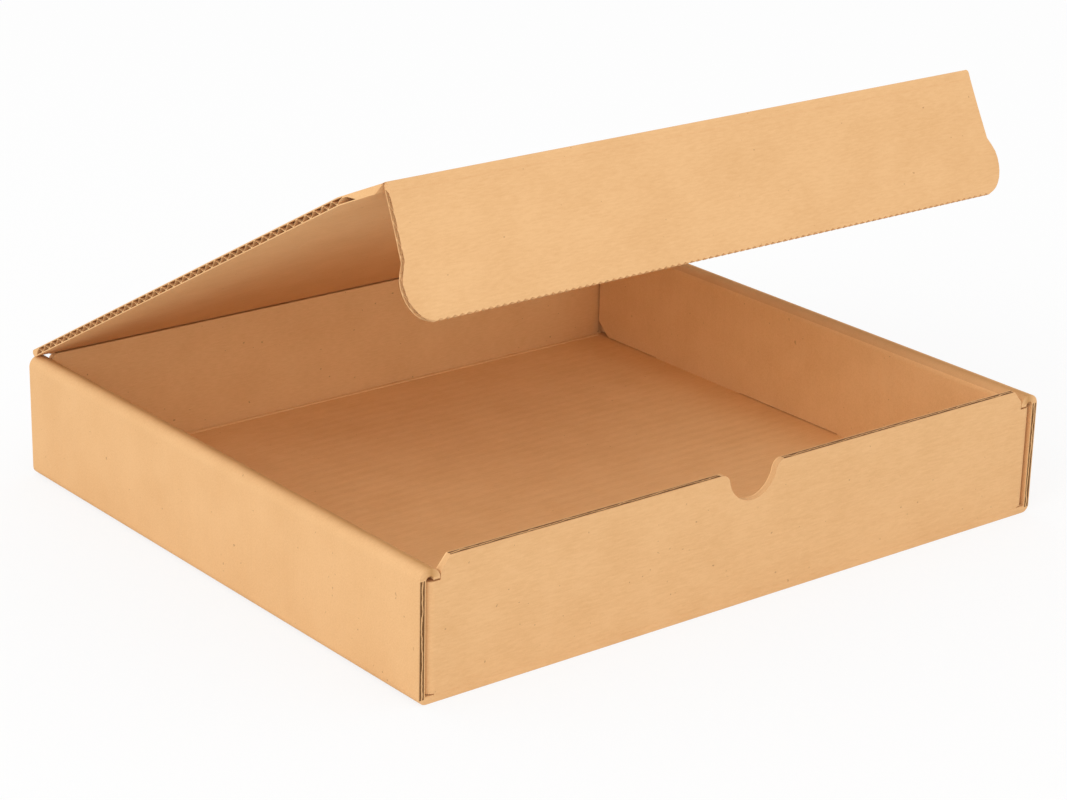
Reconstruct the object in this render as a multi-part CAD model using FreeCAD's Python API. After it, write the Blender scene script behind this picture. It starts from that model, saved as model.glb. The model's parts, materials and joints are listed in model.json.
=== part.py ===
import FreeCAD, Part
import math
import os

# Roll-end mailing box of single-wall corrugated board, standing open.
# Origin: middle of the footprint, on the ground. +X along the front, +Y to the back, +Z up. Millimetres.

# Board
board = 3.0             # thickness of the board
liner = 0.4             # thickness of each flat face sheet
medium = 0.4            # thickness of the fluted sheet between them
flute_pitch = 6.4       # crest to crest of the fluted sheet
layer_gap = 0.25        # air between two layers folded against each other
fold_radius = 0.5       # inside radius of a creased fold
corner_radius = 1.0     # inside radius where an end wall turns into its dust flap

# Inside of the box
inside_length = 305.0   # along X, between the rolled side walls
inside_depth = 276.0    # along Y, between the front and back walls
inside_height = 51.0    # floor to the underside of the closed lid

# Side walls
tab_length = 60.0       # locking tab under each inner panel
tab_start = 45.0        # from the end of the inside to the tab
tab_clearance = 0.4     # slot around a tab
panel_chamfer = 8.0     # lower corners of an inner panel
panel_lift = 0.4        # air under an inner panel
panel_end_gap = 1.0     # air at each end of an inner panel

# Front and back walls with their dust flaps
dust_flap = 72.0        # length of a dust flap, from the outer face of its wall
dust_lift = 0.5         # air under a dust flap
dust_drop = 0.8         # air between a dust flap and the roll above it
dust_chamfer = 9.0      # corners at the free end of a dust flap
wall_step = 0.25        # air between a roll and the wall end beside it
corner_rise = 3.5       # straight rise of the front wall beside a roll
corner_cut = 4.4        # diagonal at each top corner of the front wall

# Thumb notch in the front wall
notch_radius = 12.5
notch_depth = 13.5
notch_shoulder = 4.0

# Lid and tuck flap
lid_angle = 28.5        # how far the lid stands open
lid_seat = 0.15         # air between the closed lid and the rolled sides
lid_inset = 2.0         # side edge of the lid in from the side of the box
lid_to_front = 3.5      # air between the closed tuck flap and the front wall
lid_corner_length = 12.0  # length of the slanted front corners of the lid
hinge_gap = 0.3         # air between a knuckle and the edge it turns by
flap_inset = 13.5       # end of the fold in from the side of the box
flap_length = 51.0      # fold to the edge of the tuck flap
flap_angle = 87.0       # between the lid and the tuck flap
crushed_end = 6.0       # flutes pressed flat at the lid's front fold
fold_relief = 2.3       # bevel on the inside of the lid's front end, room for the flap to fold in
ear_out = 3.5           # how far an ear stands out past the fold
neck_length = 28.0      # fold to where the ears start
ear_corner = 14.0       # height of the rounded lower corner
tooth_pitch = 3.2       # serrated edge of the tuck flap
tooth_depth = 0.8

# What follows from these
stack = 3 * board + 2 * layer_gap
outside_length = inside_length + 2 * stack
outside_depth = inside_depth + 2 * board
half_x = outside_length / 2
half_y = outside_depth / 2
side_top = board + inside_height - lid_seat
hinge_y = half_y - board / 2
hinge_z = side_top + lid_seat + board / 2
front_top = hinge_z + board / 2
roll_radius = (stack - board) / 2
roll_z = side_top - board / 2 - roll_radius
wall_end_x = half_x - board - layer_gap
fold_length = hinge_y - (-half_y + board + lid_to_front) - board / 2
lid_half = half_x - lid_inset
flap_half = half_x - flap_inset


def lines_and_arcs(points, radii, offset):
    """Edges of a folded centre line moved sideways by offset; radii are centre-line radii at the inner points."""
    path = []
    dirs = []
    for p, q in zip(points, points[1:]):
        length = math.hypot(q[0] - p[0], q[1] - p[1])
        dirs.append(((q[0] - p[0]) / length, (q[1] - p[1]) / length))
    n = (-dirs[0][1], dirs[0][0])
    here = (points[0][0] + n[0] * offset, points[0][1] + n[1] * offset)
    path.append(("start", here))
    for i, radius in enumerate(radii):
        d0 = dirs[i]
        d1 = dirs[i + 1]
        p = points[i + 1]
        turn = math.atan2(d0[0] * d1[1] - d0[1] * d1[0], d0[0] * d1[0] + d0[1] * d1[1])
        side = 1.0 if turn > 0 else -1.0
        trim = radius * math.tan(abs(turn) / 2)
        n0 = (-d0[1], d0[0])
        n1 = (-d1[1], d1[0])
        a = (p[0] - d0[0] * trim, p[1] - d0[1] * trim)
        b = (p[0] + d1[0] * trim, p[1] + d1[1] * trim)
        c = (a[0] + n0[0] * side * radius, a[1] + n0[1] * side * radius)
        half = turn / 2
        nm = (n0[0] * math.cos(half) - n0[1] * math.sin(half), n0[0] * math.sin(half) + n0[1] * math.cos(half))
        reach = side * radius - offset
        path.append(("line", (a[0] + n0[0] * offset, a[1] + n0[1] * offset)))
        path.append(("arc", (c[0] - nm[0] * reach, c[1] - nm[1] * reach), (b[0] + n1[0] * offset, b[1] + n1[1] * offset)))
    n = (-dirs[-1][1], dirs[-1][0])
    path.append(("line", (points[-1][0] + n[0] * offset, points[-1][1] + n[1] * offset)))
    return path


def folded_face(points, radii, thickness, place):
    """Face of a folded strip: the centre line through points, rounded by radii, given its thickness."""
    left = lines_and_arcs(points, radii, thickness / 2)
    right = lines_and_arcs(points, radii, -thickness / 2)
    edges = []
    ends = []
    for path in (left, right):
        here = path[0][1]
        start = here
        for step in path[1:]:
            there = step[-1]
            gap = math.hypot(there[0] - here[0], there[1] - here[1])
            if step[0] == "line" and gap > 1e-6:
                edges.append(Part.LineSegment(place(*here), place(*there)).toShape())
            if step[0] == "arc" and gap > 1e-6:
                edges.append(Part.Arc(place(*here), place(*step[1]), place(*there)).toShape())
            here = there
        ends.append((start, here))
    edges.append(Part.LineSegment(place(*ends[0][0]), place(*ends[1][0])).toShape())
    edges.append(Part.LineSegment(place(*ends[0][1]), place(*ends[1][1])).toShape())
    wire = Part.Wire(Part.__sortEdges__(edges))
    return Part.Face(wire)


def polygon_face(points, place):
    corners = [place(*p) for p in points]
    return Part.Face(Part.makePolygon(corners + [corners[0]]))


def block(x0, x1, y0, y1, z0, z1):
    return Part.makeBox(x1 - x0, y1 - y0, z1 - z0, FreeCAD.Vector(x0, y0, z0))


def in_xz(y):
    return lambda u, v: FreeCAD.Vector(u, y, v)


def in_yz(x):
    return lambda u, v: FreeCAD.Vector(x, u, v)


def in_xy(z):
    return lambda u, v: FreeCAD.Vector(u, v, z)


def mirror_x(shape):
    return shape.mirror(FreeCAD.Vector(0, 0, 0), FreeCAD.Vector(1, 0, 0))


def mirror_y(shape):
    return shape.mirror(FreeCAD.Vector(0, 0, 0), FreeCAD.Vector(0, 1, 0))


# Rolled side wall: floor, outer wall, bull-nosed roll, inner panel
mid_outer = half_x - board / 2
mid_inner = half_x - stack + board / 2
panel_bottom = board + panel_lift
side_face = folded_face(
    [(0, board / 2), (mid_outer, board / 2), (mid_outer, side_top - board / 2), (mid_inner, side_top - board / 2),
     (mid_inner, panel_bottom)],
    [fold_radius + board / 2, roll_radius, roll_radius],
    board, in_xz(-half_y))
side = side_face.extrude(FreeCAD.Vector(0, outside_depth, 0))
end_room_y = half_y - board - panel_end_gap
inner_x0 = half_x - stack - 1
inner_x1 = half_x - board - 0.01
side = side.cut(block(inner_x0, inner_x1, -half_y - 1, -end_room_y, board, roll_z))
side = side.cut(block(inner_x0, inner_x1, end_room_y, half_y + 1, board, roll_z))
corner = polygon_face(
    [(end_room_y - panel_chamfer, board), (end_room_y + 1, board), (end_room_y + 1, board + panel_chamfer)],
    in_yz(inner_x0))
corner_wedge = corner.extrude(FreeCAD.Vector(inner_x1 - inner_x0, 0, 0))
side = side.cut(corner_wedge)
side = side.cut(mirror_y(corner_wedge))

# Two locking tabs per side, through slots in the floor
tab_y1 = inside_depth / 2 - tab_start
tab_y0 = tab_y1 - tab_length
for y0, y1 in ((tab_y0, tab_y1), (-tab_y1, -tab_y0)):
    slot = block(mid_inner - board / 2 - tab_clearance, mid_inner + board / 2 + tab_clearance,
                 y0 - tab_clearance, y1 + tab_clearance, -1, board + 0.01)
    side = side.cut(slot)
    tab = block(mid_inner - board / 2, mid_inner + board / 2, y0, y1, panel_lift, panel_bottom + 2)
    side = side.fuse(tab)

# End wall: floor to wall, and wall to dust flap on both sides
straight_x = wall_end_x - corner_radius - board
roll_side_x = half_x - stack - wall_step
dust_top = roll_z - dust_drop


def end_wall(top):
    """Front wall (at -Y) with its folds and the dust flap at +X, up to the height top."""
    profile = folded_face(
        [(0, board / 2), (-half_y + board / 2, board / 2), (-half_y + board / 2, dust_top)],
        [fold_radius + board / 2], board, in_yz(-straight_x))
    wall = profile.extrude(FreeCAD.Vector(2 * straight_x, 0, 0))
    rise = min(corner_rise, top - dust_top - 0.1)
    cut = min(corner_cut, top - dust_top - rise)
    upper = polygon_face(
        [(-roll_side_x, dust_top), (roll_side_x, dust_top), (roll_side_x, dust_top + rise),
         (roll_side_x - cut, top), (-roll_side_x + cut, top), (-roll_side_x, dust_top + rise)],
        in_xz(-half_y))
    wall = wall.fuse(upper.extrude(FreeCAD.Vector(0, board, 0)))
    plan = folded_face(
        [(0, -half_y + board / 2), (wall_end_x - board / 2, -half_y + board / 2),
         (wall_end_x - board / 2, -half_y + dust_flap)],
        [corner_radius + board / 2], board, in_xy(board + dust_lift))
    turn = plan.extrude(FreeCAD.Vector(0, 0, dust_top - board - dust_lift))
    tip = -half_y + dust_flap
    low = board + dust_lift
    for corner_points in ([(tip - dust_chamfer, low - 1), (tip + 1, low - 1), (tip + 1, low + dust_chamfer)],
                          [(tip - dust_chamfer, dust_top + 1), (tip + 1, dust_top + 1), (tip + 1, dust_top - dust_chamfer)]):
        wedge = polygon_face(corner_points, in_yz(wall_end_x - board - 1))
        turn = turn.cut(wedge.extrude(FreeCAD.Vector(board + 2, 0, 0)))
    return wall.fuse([turn, mirror_x(turn)])


front = end_wall(front_top)
back = mirror_y(end_wall(hinge_z - board / 2 - hinge_gap))

# Thumb notch: a round cut with rounded shoulders
notch_z = front_top - notch_depth + notch_radius
shoulder_z = front_top - notch_shoulder
reach = notch_radius + notch_shoulder
shoulder_x = math.sqrt(reach ** 2 - (notch_z - shoulder_z) ** 2)
touch_x = shoulder_x * notch_radius / reach
touch_z = notch_z - (notch_z - shoulder_z) * notch_radius / reach
turn_half = math.atan2(touch_z - shoulder_z, shoulder_x - touch_x)
mid_angle = (math.pi / 2 + math.pi - turn_half) / 2
mid_x = shoulder_x + notch_shoulder * math.cos(mid_angle)
mid_z = shoulder_z + notch_shoulder * math.sin(mid_angle)
at_front = in_xz(-half_y - 1)
notch_edges = [
    Part.Arc(at_front(-shoulder_x, front_top), at_front(-mid_x, mid_z), at_front(-touch_x, touch_z)).toShape(),
    Part.Arc(at_front(-touch_x, touch_z), at_front(0, front_top - notch_depth), at_front(touch_x, touch_z)).toShape(),
    Part.Arc(at_front(touch_x, touch_z), at_front(mid_x, mid_z), at_front(shoulder_x, front_top)).toShape(),
    Part.LineSegment(at_front(shoulder_x, front_top), at_front(shoulder_x, front_top + 1)).toShape(),
    Part.LineSegment(at_front(shoulder_x, front_top + 1), at_front(-shoulder_x, front_top + 1)).toShape(),
    Part.LineSegment(at_front(-shoulder_x, front_top + 1), at_front(-shoulder_x, front_top)).toShape(),
]
notch = Part.Face(Part.Wire(notch_edges)).extrude(FreeCAD.Vector(0, board + 2, 0))
front = front.cut(notch)

tray = side.fuse([mirror_x(side), front, back]).removeSplitter()


def fluted_panel(start, end, half_width, crushed):
    """Flat board in (u, v): u along the panel, v through it, with its flute channels open at both X edges."""
    h = board / 2
    face = polygon_face([(start, -h), (end, -h), (end, h), (start, h)], lambda u, v: FreeCAD.Vector(-half_width, -u, v))
    panel = face.extrude(FreeCAD.Vector(2 * half_width, 0, 0))
    core = h - liner
    foot = medium * 0.9
    channels = []
    count = int((end - start - 2 * liner - crushed) / flute_pitch)
    first = start + (end - start - crushed - count * flute_pitch) / 2
    for i in range(count):
        u = first + i * flute_pitch
        low = [(u + foot, -core), (u + flute_pitch - foot, -core), (u + flute_pitch / 2 + 0.7, core - medium),
               (u + flute_pitch / 2 - 0.7, core - medium)]
        channels.append(low)
        if i + 1 < count:
            m = u + flute_pitch
            high = [(m - flute_pitch / 2 + foot, core), (m + flute_pitch / 2 - foot, core), (m + 0.7, -core + medium),
                    (m - 0.7, -core + medium)]
            channels.append(high)
    tools = []
    for points in channels:
        hole = polygon_face(points, lambda u, v: FreeCAD.Vector(-half_width - 1, -u, v))
        tools.append(hole.extrude(FreeCAD.Vector(2 * half_width + 2, 0, 0)))
    return panel.cut(Part.makeCompound(tools))


def knuckle(u, half_width):
    rod = Part.makeCylinder(board / 2, 2 * half_width, FreeCAD.Vector(-half_width, -u, 0), FreeCAD.Vector(1, 0, 0))
    return rod


# Lid, drawn closed about its own fold line, then opened
lid_end = fold_length - board / 2 - hinge_gap
lid = fluted_panel(0, lid_end, lid_half, crushed_end).fuse(knuckle(0, lid_half))
lid_corner = polygon_face(
    [(lid_end - lid_corner_length, lid_half), (lid_end - lid_corner_length, lid_half + 2), (lid_end + 2, lid_half + 2),
     (lid_end + 2, flap_half), (lid_end, flap_half)],
    lambda u, x: FreeCAD.Vector(x, -u, -board))
lid_corner = lid_corner.extrude(FreeCAD.Vector(0, 0, 2 * board))
relief = polygon_face(
    [(lid_end - fold_relief, -board), (lid_end - fold_relief, -board / 2), (lid_end + 0.2, board / 4 + 0.2),
     (lid_end + 1, -board)],
    lambda u, v: FreeCAD.Vector(-half_x, -u, v))
relief = relief.extrude(FreeCAD.Vector(outside_length, 0, 0))
lid = lid.cut(lid_corner).cut(mirror_x(lid_corner)).cut(relief)

# Tuck flap: neck, ears, rounded corners and a finely serrated edge
half_w = flap_half
outline = [(-board / 2, half_w - 1), (2.0, half_w - 0.6), (neck_length * 0.5, half_w - 0.3), (neck_length, half_w + 0.4),
           (neck_length + 3, half_w + ear_out * 0.55), (neck_length + 6, half_w + ear_out * 0.9)]
centre_u = flap_length - ear_corner
for k in range(0, 7):
    a = math.radians(k * 12)
    outline.append((centre_u + ear_corner * math.sin(a) * 0.96, half_w + ear_out - ear_corner * 0.72 * (1 - math.cos(a))))
edge_x = outline[-1][1] - tooth_pitch
teeth = []
count = int(2 * edge_x / tooth_pitch)
pitch = 2 * edge_x / count
for i in range(count):
    x = edge_x - i * pitch
    teeth.append((flap_length, x))
    teeth.append((flap_length - tooth_depth, x - pitch / 2))
teeth.append((flap_length, -edge_x))
full = outline + teeth + [(u, -x) for u, x in reversed(outline)]
blank = polygon_face(full, lambda u, x: FreeCAD.Vector(x, -u, -board))
blank = blank.extrude(FreeCAD.Vector(0, 0, 2 * board))
wide = half_w + ear_out + 1
flap_core = fluted_panel(0, flap_length + 1, wide, 0).fuse(knuckle(0, wide))
tuck_flap = flap_core.common(blank)

# Pose: fold the flap down against the lid, carry it to the fold, then open the lid
x_axis = FreeCAD.Vector(1, 0, 0)
fold_point = FreeCAD.Vector(0, -fold_length, 0)
tuck_flap.rotate(FreeCAD.Vector(0, 0, 0), x_axis, 180 - flap_angle)
tuck_flap.translate(fold_point)
hinge_point = FreeCAD.Vector(0, hinge_y, hinge_z)
posed = []
for shape in (lid, tuck_flap):
    shape.rotate(FreeCAD.Vector(0, 0, 0), x_axis, -lid_angle)
    shape.translate(hinge_point)
    posed.append(shape.removeSplitter())
lid, tuck_flap = posed

os.makedirs("parts", exist_ok=True)
tray.exportStep("parts/tray.step")
lid.exportStep("parts/lid.step")
tuck_flap.exportStep("parts/tuck_flap.step")

opening = math.radians(lid_angle)
fold_at = (hinge_y - fold_length * math.cos(opening), hinge_z + fold_length * math.sin(opening))
for name, shape in (("tray", tray), ("lid", lid), ("tuck_flap", tuck_flap)):
    box = shape.BoundBox
    print(name, "valid", shape.isValid(), "solids", len(shape.Solids), "volume cm3", round(shape.Volume / 1000, 1),
          [round(v, 2) for v in (box.XMin, box.XMax, box.YMin, box.YMax, box.ZMin, box.ZMax)])
print("lid fold line y, z:", round(hinge_y, 3), round(hinge_z, 3), " tuck fold y, z:", [round(v, 3) for v in fold_at])
print("fold length", fold_length, "fold half width", flap_half)
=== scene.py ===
"""Looks of an open roll-end mailing box of plain corrugated board."""
import json
import logging
import math
from dataclasses import dataclass, field
from enum import Enum

import bpy
from mathutils import Matrix, Vector

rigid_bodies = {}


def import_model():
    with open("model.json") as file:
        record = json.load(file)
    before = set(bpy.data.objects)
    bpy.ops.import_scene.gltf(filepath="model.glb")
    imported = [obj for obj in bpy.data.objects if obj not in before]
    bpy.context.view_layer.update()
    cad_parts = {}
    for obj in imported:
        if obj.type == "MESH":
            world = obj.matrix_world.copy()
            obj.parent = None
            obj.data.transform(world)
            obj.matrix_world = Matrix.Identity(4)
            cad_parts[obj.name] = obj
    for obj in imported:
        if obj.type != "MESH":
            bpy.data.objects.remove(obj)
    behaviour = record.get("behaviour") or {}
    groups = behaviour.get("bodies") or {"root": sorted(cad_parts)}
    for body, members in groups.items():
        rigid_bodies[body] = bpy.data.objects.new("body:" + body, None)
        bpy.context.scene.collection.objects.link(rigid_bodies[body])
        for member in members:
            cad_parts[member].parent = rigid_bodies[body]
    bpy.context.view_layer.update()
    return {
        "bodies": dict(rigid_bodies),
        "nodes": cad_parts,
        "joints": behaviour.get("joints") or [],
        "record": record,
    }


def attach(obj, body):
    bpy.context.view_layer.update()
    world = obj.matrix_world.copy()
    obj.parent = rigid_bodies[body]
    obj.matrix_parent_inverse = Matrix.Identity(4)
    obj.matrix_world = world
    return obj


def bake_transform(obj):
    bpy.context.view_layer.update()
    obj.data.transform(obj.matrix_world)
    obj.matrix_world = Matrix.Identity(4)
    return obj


log = logging.getLogger("mailing_box")

Socket = bpy.types.NodeSocket
Colour = tuple[float, float, float]
Point = tuple[float, float, float]

MM = 0.001

# Where the tray's look changes (the painted inside light, the flute direction, the crests), in metres from
# the middle of its footprint
INSIDE_X = 0.1530       # just past the faces of the inner panels
INSIDE_Y = 0.1385       # just past the inner faces of the end walls
ABOVE_FLOOR = 0.0025    # just under the floor's upper face
END_WALL_Y = 0.1375     # just before the inner faces of the end walls
CREST_X = 0.1565        # middle of a rolled side
CREST_Z = 0.0500        # where the roll starts
CREST_HALF_WIDTH = 0.0042


class Flutes(Enum):
    """Direction across the flutes under a sheet at rest; the lid's and the flap's run down those panels."""

    TRAY = (0.0, 1.0, 0.0)
    LID = (0.0, -0.8788, 0.4772)
    FLAP = (0.0, -0.4305, -0.9026)


class Run(Enum):
    """The axis that a raw edge runs along."""

    UP = "up"
    ACROSS = "across"


@dataclass(frozen=True)
class BoxSizes:
    """Sizes of the box in millimetres, the same as the solids."""

    half_x: float = 162.0
    half_y: float = 141.0
    board: float = 3.0
    stack: float = 9.5
    front_top: float = 57.0
    roll_z: float = 49.1
    hinge_y: float = 139.5
    hinge_z: float = 55.5
    lid_angle: float = 28.5
    fold_length: float = 272.5
    flap_half: float = 148.5
    flap_angle: float = 87.0
    notch_reach: float = 16.3

    def fold_at(self) -> Vector:
        """Gives the place of the tuck flap's fold at rest, in metres.

        Returns:
            The point on the fold line at x = 0.
        """
        a = math.radians(self.lid_angle)
        y = self.hinge_y - self.fold_length * math.cos(a)
        z = self.hinge_z + self.fold_length * math.sin(a)
        return Vector((0.0, y * MM, z * MM))


class Nodes:
    """Adds and joins shader nodes in one material."""

    def __init__(self, material: bpy.types.Material) -> None:
        """Empties the material's node tree.

        Args:
            material: the material to fill.
        """
        material.use_nodes = True
        self.tree = material.node_tree
        self.tree.nodes.clear()

    def add(self, kind: str, **values: object) -> bpy.types.Node:
        """Adds a node and sets its properties.

        Args:
            kind: the node's type name.
            values: properties of the node.

        Returns:
            The node.
        """
        node = self.tree.nodes.new(kind)
        for key, value in values.items():
            setattr(node, key, value)
        return node

    def join(self, source: Socket, target: Socket) -> None:
        """Links an output to an input."""
        self.tree.links.new(source, target)

    def math(self, operation: str, a: object, b: object = 0.0, c: object = 0.0) -> Socket:
        """Adds a math node whose inputs are sockets or numbers.

        Args:
            operation: the math operation.
            a: first input.
            b: second input.
            c: third input.

        Returns:
            The node's output.
        """
        node = self.add("ShaderNodeMath", operation=operation)
        for socket, value in zip(node.inputs, (a, b, c)):
            if isinstance(value, Socket):
                self.join(value, socket)
            else:
                socket.default_value = float(value)
        return node.outputs[0]

    def noise(self, vector: Socket, scale: float, detail: float = 2.0) -> Socket:
        """Adds a noise texture and gives its factor.

        Args:
            vector: the coordinates.
            scale: the pattern's scale, per metre.
            detail: how many finer layers.

        Returns:
            The noise, about 0.5 on average.
        """
        node = self.add("ShaderNodeTexNoise")
        node.inputs["Scale"].default_value = scale
        node.inputs["Detail"].default_value = detail
        self.join(vector, node.inputs["Vector"])
        return node.outputs["Fac"]

    def ramp(self, factor: Socket, stops: list[tuple[float, Colour]]) -> Socket:
        """Adds a colour ramp.

        Args:
            factor: the input from 0 to 1.
            stops: places and linear colours.

        Returns:
            The colour.
        """
        node = self.add("ShaderNodeValToRGB")
        ramp = node.color_ramp
        while len(ramp.elements) < len(stops):
            ramp.elements.new(0.5)
        for element, (place, colour) in zip(ramp.elements, stops):
            element.position = place
            element.color = (*colour, 1.0)
        self.join(factor, node.inputs["Fac"])
        return node.outputs["Color"]

    def stretched(self, coords: Socket, scale: Point) -> Socket:
        """Stretches coordinates.

        Args:
            coords: the coordinates.
            scale: factor along each axis.

        Returns:
            The stretched coordinates.
        """
        node = self.add("ShaderNodeMapping")
        node.inputs["Scale"].default_value = scale
        self.join(coords, node.inputs["Vector"])
        return node.outputs["Vector"]


@dataclass(frozen=True)
class KraftSheet:
    """Face sheet of kraft board: warm brown, long fibres, a few specks, flutes just showing through."""

    name: str
    flutes: Flutes
    colour: Colour = (0.770, 0.462, 0.220)
    dark: Colour = (0.700, 0.402, 0.180)
    speck: Colour = (0.36, 0.18, 0.075)
    crest: Colour = (0.46, 0.23, 0.075)
    # painted light: factor that lightens the tray's inside, where too little light reaches
    painted_inside_light: Colour = (1.17, 1.24, 1.26)
    flute_pitch: float = 6.4
    wave_height: float = 0.045
    roughness: float = 0.86

    def build(self) -> bpy.types.Material:
        """Makes the material.

        Returns:
            The material.
        """
        material = bpy.data.materials.new(self.name)
        n = Nodes(material)
        coords = n.add("ShaderNodeTexCoord").outputs["Object"]
        out = n.add("ShaderNodeOutputMaterial")
        bsdf = n.add("ShaderNodeBsdfPrincipled")
        bsdf.inputs["Roughness"].default_value = self.roughness
        bsdf.inputs["Specular IOR Level"].default_value = 0.18
        n.join(bsdf.outputs["BSDF"], out.inputs["Surface"])

        fibres = n.noise(n.stretched(coords, (260.0, 1500.0, 1500.0)), 1.0, 3.0)
        cloud = n.noise(coords, 45.0, 3.0)
        grain = n.noise(coords, 2400.0, 1.0)
        mixed = n.math("ADD", n.math("MULTIPLY", fibres, 0.45), n.math("MULTIPLY", cloud, 0.35))
        mixed = n.math("ADD", mixed, n.math("MULTIPLY", grain, 0.20))
        base = n.ramp(mixed, [(0.34, self.dark), (0.60, self.colour)])
        speck = n.noise(coords, 620.0, 0.0)
        speck = n.math("GREATER_THAN", speck, 0.875)
        mix = n.add("ShaderNodeMix", data_type="RGBA")
        n.join(n.math("MULTIPLY", speck, 0.55), mix.inputs[0])
        n.join(base, mix.inputs[6])
        mix.inputs[7].default_value = (*self.speck, 1.0)
        if self.flutes is Flutes.TRAY:
            # painted light on the tray's inside, then the darker crests
            with_painted_inside_light = self.with_painted_inside_light(n, coords, mix.outputs[2])
            n.join(self.rolled(n, coords, with_painted_inside_light), bsdf.inputs["Base Color"])
        else:
            n.join(mix.outputs[2], bsdf.inputs["Base Color"])

        across = n.add("ShaderNodeVectorMath", operation="DOT_PRODUCT")
        n.join(coords, across.inputs[0])
        across.inputs[1].default_value = self.flutes.value
        place = across.outputs["Value"]
        if self.flutes is Flutes.TRAY:
            parts = n.add("ShaderNodeSeparateXYZ")
            n.join(coords, parts.inputs[0])
            near_end = n.math("GREATER_THAN", n.math("ABSOLUTE", parts.outputs["Y"]), END_WALL_Y)
            level = n.math("MULTIPLY", near_end, parts.outputs["Z"])
            inside = n.math("MULTIPLY", n.math("SUBTRACT", 1.0, near_end), place)
            place = n.math("ADD", inside, level)
        wander = n.math("MULTIPLY", n.noise(coords, 9.0, 1.0), 0.0035)
        turns = n.math("MULTIPLY", n.math("ADD", place, wander), 2 * math.pi / (self.flute_pitch * MM))
        wave = n.math("MULTIPLY", n.math("SINE", turns), self.wave_height)
        patch = n.math("MULTIPLY", wave, n.math("ADD", n.noise(coords, 14.0, 1.0), 0.4))
        height = n.math("ADD", patch, n.math("MULTIPLY", fibres, 0.045))
        height = n.math("ADD", height, n.math("MULTIPLY", n.noise(coords, 30.0, 2.0), 0.35))
        bump = n.add("ShaderNodeBump")
        bump.inputs["Strength"].default_value = 0.8
        bump.inputs["Distance"].default_value = 0.001
        n.join(height, bump.inputs["Height"])
        n.join(bump.outputs["Normal"], bsdf.inputs["Normal"])
        return material


    def with_painted_inside_light(self, n: Nodes, coords: Socket, sheet: Socket) -> Socket:
        """Paints light onto the tray's inside: lightens the colour there, a little towards yellow, in place
        of light that does not reach in.

        Args:
            n: the material's nodes.
            coords: the object coordinates.
            sheet: the outer sheet's colour.

        Returns:
            The colour with the painted inside light.
        """
        parts = n.add("ShaderNodeSeparateXYZ")
        n.join(coords, parts.inputs[0])
        within_x = n.math("LESS_THAN", n.math("ABSOLUTE", parts.outputs["X"]), INSIDE_X)
        within_y = n.math("LESS_THAN", n.math("ABSOLUTE", parts.outputs["Y"]), INSIDE_Y)
        above = n.math("GREATER_THAN", parts.outputs["Z"], ABOVE_FLOOR)
        inside = n.math("MULTIPLY", n.math("MULTIPLY", within_x, within_y), above)
        tone = n.add("ShaderNodeMix", data_type="RGBA", blend_type="MULTIPLY")
        n.join(inside, tone.inputs[0])
        n.join(sheet, tone.inputs[6])
        tone.inputs[7].default_value = (*self.painted_inside_light, 1.0)
        return tone.outputs[2]

    def rolled(self, n: Nodes, coords: Socket, sheet: Socket) -> Socket:
        """Darkens the crest of the rolled sides, where the sheet is stretched.

        Args:
            n: the material's nodes.
            coords: the object coordinates.
            sheet: the sheet's colour.

        Returns:
            The colour with the crests.
        """
        parts = n.add("ShaderNodeSeparateXYZ")
        n.join(coords, parts.inputs[0])
        side = n.math("ABSOLUTE", parts.outputs["X"])
        from_crest = n.math("ABSOLUTE", n.math("SUBTRACT", side, CREST_X))
        from_crest = n.math("ADD", from_crest, n.math("MULTIPLY", n.noise(coords, 60.0, 2.0), 0.0014))
        share = n.math("DIVIDE", from_crest, CREST_HALF_WIDTH)
        across = n.math("SUBTRACT", 1.0, n.math("SMOOTH_MIN", share, 1.0, 0.3))
        high = n.math("GREATER_THAN", parts.outputs["Z"], CREST_Z)
        crest = n.add("ShaderNodeMix", data_type="RGBA")
        n.join(n.math("MULTIPLY", n.math("MAXIMUM", across, 0.0), high), crest.inputs[0])
        n.join(sheet, crest.inputs[6])
        crest.inputs[7].default_value = (*self.crest, 1.0)
        return crest.outputs[2]


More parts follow.
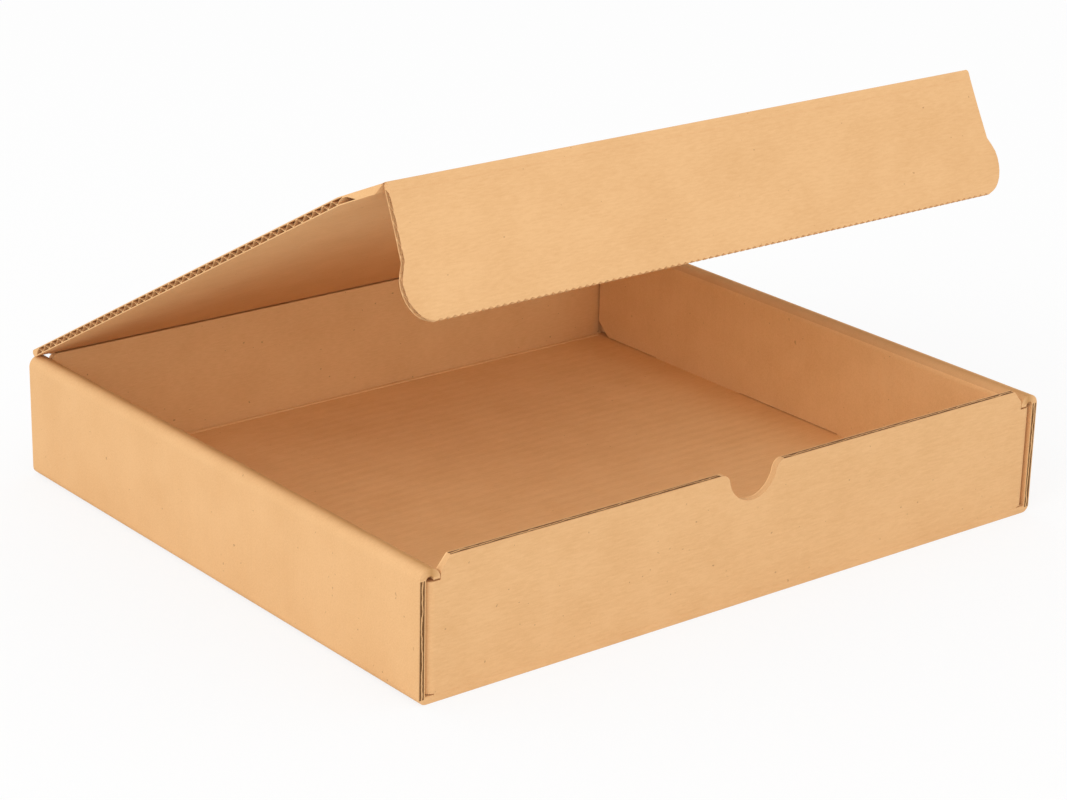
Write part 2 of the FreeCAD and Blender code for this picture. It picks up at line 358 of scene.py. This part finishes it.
@dataclass(frozen=True)
class RawEdge:
    """Cut edge of the board: two light liners with the fluted medium between them, and painted shade for
    the dark open channels.
    """

    name: str
    run: Run
    centre: float
    liner: Colour = (0.70, 0.41, 0.19)
    # painted shade: colour of the open flute channels, dark only because light does not get into them
    painted_gap_shade: Colour = (0.16, 0.075, 0.028)

    def build(self) -> bpy.types.Material:
        """Makes the material.

        Returns:
            The material.
        """
        material = bpy.data.materials.new(self.name)
        n = Nodes(material)
        coords = n.add("ShaderNodeTexCoord").outputs["Object"]
        parts = n.add("ShaderNodeSeparateXYZ")
        n.join(coords, parts.inputs[0])
        if self.run is Run.UP:
            through, along = n.math("ABSOLUTE", parts.outputs["X"]), parts.outputs["Z"]
        else:
            through, along = n.math("ABSOLUTE", parts.outputs["Y"]), parts.outputs["X"]
        off = n.math("MULTIPLY", n.math("SUBTRACT", through, self.centre * MM), 1.0 / (1.5 * MM))
        wander = n.math("SUBTRACT", n.noise(coords, 160.0, 2.0), 0.5)
        curve = n.math("MULTIPLY", wander, 1.6)
        distance = n.math("ABSOLUTE", n.math("SUBTRACT", off, curve))
        medium = n.math("LESS_THAN", distance, 0.20)
        sheet = n.math("GREATER_THAN", n.math("ABSOLUTE", off), 0.66)
        solid = n.math("MAXIMUM", medium, sheet)
        grain = n.math("ADD", n.math("MULTIPLY", n.noise(coords, 900.0, 2.0), 0.5), 0.65)
        tone = n.math("MULTIPLY", solid, grain)
        # all that is not liner or medium gets the painted shade
        colour = n.ramp(tone, [(0.0, self.painted_gap_shade), (0.9, self.liner)])
        bsdf = n.add("ShaderNodeBsdfPrincipled")
        bsdf.inputs["Roughness"].default_value = 0.92
        bsdf.inputs["Specular IOR Level"].default_value = 0.1
        n.join(colour, bsdf.inputs["Base Color"])
        bump = n.add("ShaderNodeBump")
        bump.inputs["Strength"].default_value = 0.9
        bump.inputs["Distance"].default_value = 0.0006
        n.join(tone, bump.inputs["Height"])
        n.join(bump.outputs["Normal"], bsdf.inputs["Normal"])
        out = n.add("ShaderNodeOutputMaterial")
        n.join(bsdf.outputs["BSDF"], out.inputs["Surface"])
        return material


@dataclass(frozen=True)
class StudioFloor:
    """White floor that keeps the box's shadow."""

    name: str = "studio_floor"
    shade: float = 0.86
    glow: float = 0.80

    def build(self) -> bpy.types.Material:
        """Makes the material.

        Returns:
            The material.
        """
        material = bpy.data.materials.new(self.name)
        n = Nodes(material)
        path = n.add("ShaderNodeLightPath")
        seen = n.math("MAXIMUM", path.outputs["Is Camera Ray"], path.outputs["Is Glossy Ray"])
        seen = n.math("MAXIMUM", seen, path.outputs["Is Transmission Ray"])
        diffuse = n.add("ShaderNodeBsdfDiffuse")
        diffuse.inputs["Color"].default_value = (self.shade, self.shade, self.shade, 1.0)
        glow = n.add("ShaderNodeEmission")
        glow.inputs["Color"].default_value = (1.0, 1.0, 1.0, 1.0)
        glow.inputs["Strength"].default_value = 1.0
        mix = n.add("ShaderNodeMixShader")
        n.join(n.math("MULTIPLY", seen, self.glow), mix.inputs[0])
        n.join(diffuse.outputs[0], mix.inputs[1])
        n.join(glow.outputs[0], mix.inputs[2])
        out = n.add("ShaderNodeOutputMaterial")
        n.join(mix.outputs[0], out.inputs["Surface"])
        return material


def fresh(name: str) -> bpy.types.Object:
    """Names the active new primitive and gives its mesh its place.

    Args:
        name: the piece's name.

    Returns:
        The piece, at the origin with its place in its mesh.
    """
    piece = bpy.context.active_object
    piece.name = name
    piece.data.name = name
    bpy.ops.object.transform_apply(location=True, rotation=True, scale=True)
    return piece


def dress(piece: bpy.types.Object, material: bpy.types.Material) -> None:
    """Gives a piece one material.

    Args:
        piece: the piece.
        material: its material.
    """
    piece.data.materials.clear()
    piece.data.materials.append(material)


def bar(name: str, low: Point, high: Point, bevel: float) -> bpy.types.Object:
    """Makes a box-shaped piece with softened edges.

    Args:
        name: the piece's name.
        low: lowest corner in millimetres.
        high: highest corner in millimetres.
        bevel: bevel width in millimetres.

    Returns:
        The piece.
    """
    bpy.ops.object.select_all(action="DESELECT")
    middle = [(a + b) / 2 * MM for a, b in zip(low, high)]
    bpy.ops.mesh.primitive_cube_add(size=1.0, location=middle)
    piece = bpy.context.active_object
    piece.scale = [(b - a) * MM for a, b in zip(low, high)]
    piece = fresh(name)
    bpy.ops.object.mode_set(mode="EDIT")
    bpy.ops.mesh.select_all(action="SELECT")
    bpy.ops.mesh.bevel(offset=bevel * MM, segments=2)
    bpy.ops.object.mode_set(mode="OBJECT")
    return piece


@dataclass
class Tray:
    """Floor, walls, rolled sides and dust flaps, with the raw edges and crease beads on them."""

    sizes: BoxSizes
    nodes: dict[str, bpy.types.Object]
    made: list[str] = field(default_factory=list)

    def build(self) -> None:
        """Dresses the tray and adds its edges and beads."""
        dress(self.nodes["tray"], KraftSheet("kraft_tray", Flutes.TRAY).build())
        self.made.append("tray")
        self.side_ends()
        self.wall_tops()
        self.beads()

    def side_ends(self) -> None:
        """Adds the cut ends of the outer side walls, which show beside the front and back walls."""
        s = self.sizes
        look = RawEdge("raw_side_end", Run.UP, s.half_x - s.board / 2).build()
        for side_name, sx in (("right", 1), ("left", -1)):
            for end_name, sy in (("front", -1), ("back", 1)):
                xs = sorted((sx * (s.half_x - 0.1), sx * (s.half_x - s.board + 0.1)))
                ys = sorted((sy * (s.half_y - 0.25), sy * (s.half_y + 0.02)))
                piece = bar(f"side_end_{end_name}_{side_name}", (xs[0], ys[0], 2.2),
                            (xs[1], ys[1], s.roll_z + 0.5), 0.06)
                dress(piece, look)
                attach(piece, "tray")
                self.made.append(piece.name)

    def wall_tops(self) -> None:
        """Adds the cut top edges of the front wall, on both sides of the thumb notch."""
        s = self.sizes
        look = RawEdge("raw_wall_top", Run.ACROSS, s.half_y - s.board / 2).build()
        outer = s.half_x - s.stack - 0.25 - 4.6
        for name, x0, x1 in (("left", -outer, -s.notch_reach - 0.4), ("right", s.notch_reach + 0.4, outer)):
            piece = bar(f"front_top_{name}", (x0, -s.half_y + 0.1, s.front_top - 0.3),
                        (x1, -s.half_y + s.board - 0.1, s.front_top + 0.02), 0.06)
            dress(piece, look)
            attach(piece, "tray")
            self.made.append(piece.name)

    def beads(self) -> None:
        """Adds the raised beads that the creases push up along the floor's front and back folds."""
        s = self.sizes
        look = KraftSheet("kraft_bead", Flutes.TRAY, wave_height=0.0).build()
        reach = s.half_x - s.stack - 0.8
        for name, sy in (("front", -1), ("back", 1)):
            bpy.ops.object.select_all(action="DESELECT")
            place = (0.0, sy * (s.half_y - s.board - 1.3) * MM, s.board * MM)
            bpy.ops.mesh.primitive_cylinder_add(vertices=24, radius=1.0 * MM, depth=2 * reach * MM,
                                                location=place, rotation=(0.0, math.pi / 2, 0.0))
            piece = fresh(f"crease_bead_{name}")
            bpy.ops.object.mode_set(mode="EDIT")
            bpy.ops.mesh.select_all(action="SELECT")
            bpy.ops.transform.resize(value=(1.0, 1.0, 0.55), center_override=place)
            bpy.ops.object.mode_set(mode="OBJECT")
            bpy.ops.object.shade_smooth_by_angle(angle=math.radians(50))
            dress(piece, look)
            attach(piece, "tray")
            self.made.append(piece.name)


@dataclass
class FoldSkin:
    """Outer liner that bends over a fold, from one panel to the next."""

    name: str
    centre: Vector
    first: float
    last: float
    tail: float
    half_width: float
    radius: float
    bodies: tuple[str, str]
    thickness: float = 0.12

    def build(self, material: bpy.types.Material) -> str:
        """Makes the skin and blends it across the fold.

        Args:
            material: the liner's material.

        Returns:
            The piece's name.
        """
        bpy.ops.object.select_all(action="DESELECT")
        bpy.ops.mesh.primitive_grid_add(x_subdivisions=4, y_subdivisions=16, size=1.0)
        piece = fresh(self.name)
        steps = 16
        r = self.radius * MM
        for v in piece.data.vertices:
            i = round((v.co.y + 0.5) * steps)
            t = (i - 2) / (steps - 4)
            a = self.first + (self.last - self.first) * min(max(t, 0.0), 1.0)
            out = Vector((0.0, math.cos(a), math.sin(a)))
            along = Vector((0.0, -math.sin(a), math.cos(a))) * (1 if self.last > self.first else -1)
            over = 0.0
            if i < 2:
                over = -(2 - i) / 2 * self.tail * MM
            if i > steps - 2:
                over = (i - steps + 2) / 2 * self.tail * MM
            sideways = Vector((v.co.x * 2 * self.half_width * MM, 0.0, 0.0))
            v.co = sideways + self.centre + out * r + along * over
        solid = piece.modifiers.new("thickness", "SOLIDIFY")
        solid.thickness = self.thickness * MM
        solid.offset = 0.0
        bpy.ops.object.modifier_apply(modifier=solid.name)
        bpy.ops.object.mode_set(mode="EDIT")
        bpy.ops.mesh.select_all(action="SELECT")
        bpy.ops.mesh.normals_make_consistent(inside=False)
        bpy.ops.object.mode_set(mode="OBJECT")
        bpy.ops.object.shade_smooth_by_angle(angle=math.radians(50))
        dress(piece, material)
        for a in (self.first, self.last):
            out = Vector((0.0, math.cos(a), math.sin(a)))
        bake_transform(piece)
        return piece.name


@dataclass
class Lid:
    """The hinged lid and its tuck flap, with the liners over their folds."""

    sizes: BoxSizes
    nodes: dict[str, bpy.types.Object]
    made: list[str] = field(default_factory=list)

    def build(self) -> None:
        """Dresses the lid and the flap and covers their folds."""
        s = self.sizes
        lid_look = KraftSheet("kraft_lid", Flutes.LID).build()
        flap_look = KraftSheet("kraft_flap", Flutes.FLAP).build()
        dress(self.nodes["lid"], lid_look)
        dress(self.nodes["tuck_flap"], flap_look)
        self.made += ["lid", "tuck_flap"]
        lid_out = math.radians(90 - s.lid_angle)
        skin = FoldSkin("hinge_skin", Vector((0.0, s.hinge_y * MM, s.hinge_z * MM)), 0.0, lid_out, 2.5,
                        s.half_x - s.stack - 0.6, s.board / 2, ("tray", "lid"))
        self.made.append(skin.build(lid_look))
        flap_out = lid_out + math.radians(180 - s.flap_angle)
        skin = FoldSkin("fold_skin", s.fold_at(), lid_out, flap_out, 2.5, s.flap_half - 0.6, s.board / 2,
                        ("lid", "tuck_flap"))
        self.made.append(skin.build(flap_look))


@dataclass(frozen=True)
class Lamp:
    """One soft square lamp."""

    name: str
    place: Point
    size: float
    power: float

    def build(self) -> None:
        """Adds the lamp, turned towards the box."""
        data = bpy.data.lights.new(self.name, "AREA")
        data.shape = "SQUARE"
        data.size = self.size
        data.energy = self.power
        lamp = bpy.data.objects.new(self.name, data)
        lamp.location = self.place
        aim = Vector((0.0, 0.0, 0.06)) - Vector(self.place)
        lamp.rotation_euler = aim.to_track_quat("-Z", "Y").to_euler()
        bpy.context.scene.collection.objects.link(lamp)


@dataclass(frozen=True)
class Viewpoint:
    """The photograph's viewing angle; place_mm is counted from the front left corner of the footprint."""

    focal_px: float = 2991.07
    width_px: float = 1067.0
    yaw: float = 38.795
    pitch: float = 20.316
    roll: float = 1.297
    place_mm: Point = (-586.39, -792.61, 485.38)

    def build(self) -> None:
        """Adds the camera and makes it the scene's."""
        data = bpy.data.cameras.new("camera")
        data.sensor_width = 36.0
        data.lens = 36.0 * self.focal_px / self.width_px
        data.clip_end = 50.0
        camera = bpy.data.objects.new("camera", data)
        yaw, pitch, roll = (math.radians(a) for a in (self.yaw, self.pitch, self.roll))
        ahead = Vector((math.sin(yaw) * math.cos(pitch), math.cos(yaw) * math.cos(pitch), -math.sin(pitch)))
        right = Vector((math.cos(yaw), -math.sin(yaw), 0.0))
        up = right.cross(ahead)
        turned_right = right * math.cos(roll) + up * math.sin(roll)
        turned_up = up * math.cos(roll) - right * math.sin(roll)
        frame = Matrix((turned_right, turned_up, -ahead)).transposed().to_4x4()
        x, y, z = self.place_mm
        corner = BoxSizes()
        frame.translation = Vector(((x - corner.half_x) * MM, (y - corner.half_y) * MM, z * MM))
        camera.matrix_world = frame
        bpy.context.scene.collection.objects.link(camera)
        bpy.context.scene.camera = camera


@dataclass
class Studio:
    """Floor, world, lamps and camera."""

    floor: StudioFloor = StudioFloor()
    view: Viewpoint = Viewpoint()
    lamps: tuple[Lamp, ...] = (
        Lamp("key", (-2.1, -1.0, 1.3), 1.6, 17.0),
        Lamp("fill", (0.9, -2.0, 1.0), 1.8, 1.5),
        Lamp("top", (0.6, -0.6, 2.1), 1.6, 0.8),
    )

    def build(self) -> None:
        """Sets up the studio."""
        bpy.ops.object.select_all(action="DESELECT")
        bpy.ops.mesh.primitive_plane_add(size=30.0, location=(0.0, 0.0, -0.0002))
        ground = fresh("floor")
        ground.data.materials.append(self.floor.build())
        world = bpy.data.worlds.new("world")
        world.use_nodes = True
        background = world.node_tree.nodes["Background"]
        background.inputs["Color"].default_value = (1.0, 1.0, 1.0, 1.0)
        background.inputs["Strength"].default_value = 1.0
        bpy.context.scene.world = world
        for lamp in self.lamps:
            lamp.build()
        self.view.build()
        bpy.context.scene.view_settings.view_transform = "Standard"


def main() -> None:
    """Builds the studio and dresses each piece of the box."""
    logging.basicConfig(level=logging.INFO, format="%(name)s: %(message)s")
    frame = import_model()
    bpy.ops.object.select_all(action="DESELECT")
    sizes = BoxSizes()
    for part in (Tray(sizes, frame["nodes"]), Lid(sizes, frame["nodes"])):
        part.build()
        for name in part.made:
            log.info("%s", name)
    Studio().build()


if __name__ == "__main__":
    main()
